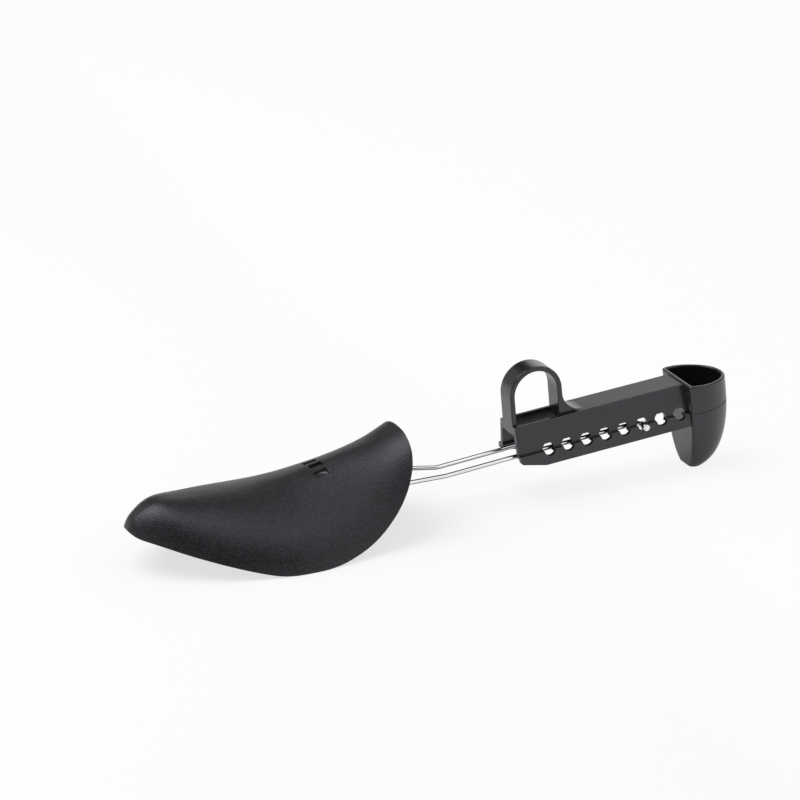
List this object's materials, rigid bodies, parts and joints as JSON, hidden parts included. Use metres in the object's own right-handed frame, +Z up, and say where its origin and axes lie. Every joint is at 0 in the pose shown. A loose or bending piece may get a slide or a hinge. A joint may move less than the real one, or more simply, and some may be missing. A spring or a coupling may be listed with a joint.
{
  "type": "shoe stretcher",
  "caption": "Adjustable shoe stretcher: a black open toe shell hinged on a bent chrome spring wire that pins into a perforated handle with a finger loop and a heel cup.",
  "frame": {"origin": "on the floor, below the middle of the stretcher's length and width, as it stands on the toe shell's two lobes and the heel cup's foot", "axes": "+X towards the heel cup, -X towards the toe, +Z up; the left side is -Y"},
  "size_m": [0.2472, 0.0664, 0.0529],
  "materials": {
    "shell_plastic": "fine spark-eroded grain",
    "handle_plastic": "satin",
    "spring_chrome": "bright plated"
  },
  "bodies": {
    "handle": {"handle": "handle_plastic"},
    "wire": {"wire_bar": "spring_chrome"},
    "wire_left": {"wire_arm_left": "spring_chrome"},
    "wire_right": {"wire_arm_right": "spring_chrome"},
    "toe": {"toe_shell": "shell_plastic"}
  },
  "joints": [
    {"name": "length_slide", "type": "slide", "parent": "handle", "child": "wire", "axis": [-0.9969, 0, -0.0785], "range_m": [-0.016, 0.032]},
    {"name": "left_pinch", "type": "hinge", "parent": "wire", "child": "wire_left", "pos_m": [-0.04854, -0.01, 0.0196], "axis": [0, 0, 1], "range_deg": [0, 1.31], "stiffness_Nm_per_rad": 1.84},
    {"name": "right_pinch", "type": "hinge", "parent": "wire", "child": "wire_right", "pos_m": [-0.04854, 0.01, 0.0196], "axis": [0, 0, 1], "range_deg": [-1.31, 0], "stiffness_Nm_per_rad": 1.84},
    {"name": "toe_pivot", "type": "hinge", "parent": "wire", "child": "toe", "pos_m": [-0.04854, 0, 0.0196], "axis": [0, 1, 0], "range_deg": [-45, 12]}
  ],
  "couplings": [
    {"joint": "right_pinch", "follows": "left_pinch", "ratio": -1}
  ]
}
